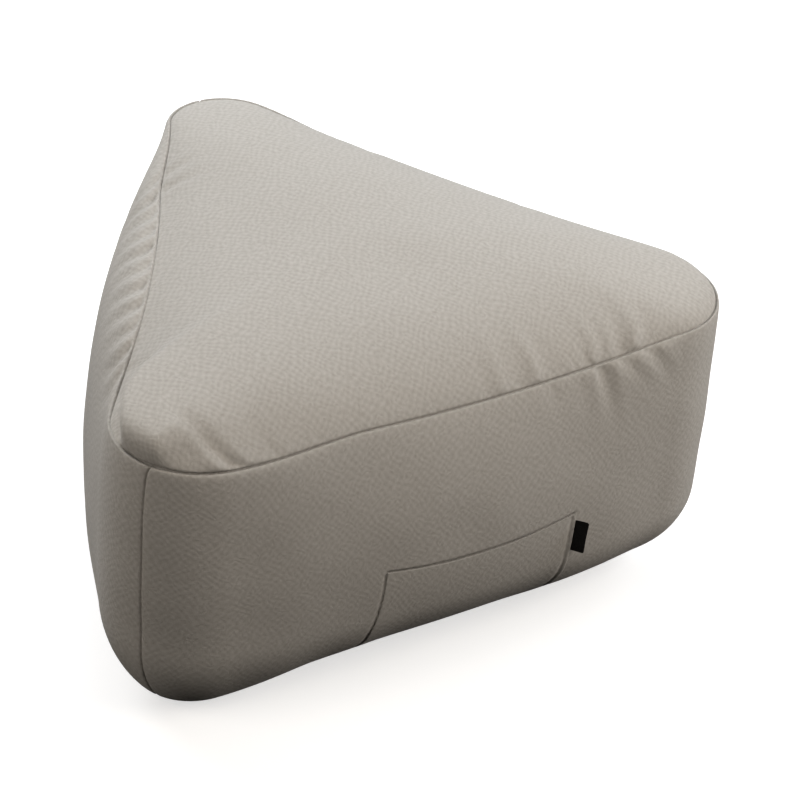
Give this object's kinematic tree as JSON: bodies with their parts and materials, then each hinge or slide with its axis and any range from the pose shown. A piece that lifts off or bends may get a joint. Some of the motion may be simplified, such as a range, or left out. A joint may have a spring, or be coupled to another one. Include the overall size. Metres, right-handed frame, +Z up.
{
  "type": "triangular pouf",
  "caption": "Low triangular floor pouf with rounded corners, boxed sides, a crowned top and a wide carrying handle low on its front.",
  "frame": {"origin": "On the floor, under the centre of the triangle, in the middle of the flat underside.", "axes": "+Z up; the front side, which carries the handle, faces -Y and runs along X; the back corner points to +Y."},
  "size_m": [0.79, 0.7317, 0.4471],
  "materials": {
    "body_cloth": "matte upholstery weave, warm light grey melange",
    "handle_cloth": "matte upholstery weave, warm light grey melange",
    "label_cloth": "black woven tape with a slight sheen"
  },
  "bodies": {
    "root": {"pouf_body": "body_cloth", "handle": "handle_cloth", "label": "label_cloth"}
  },
  "joints": []
}
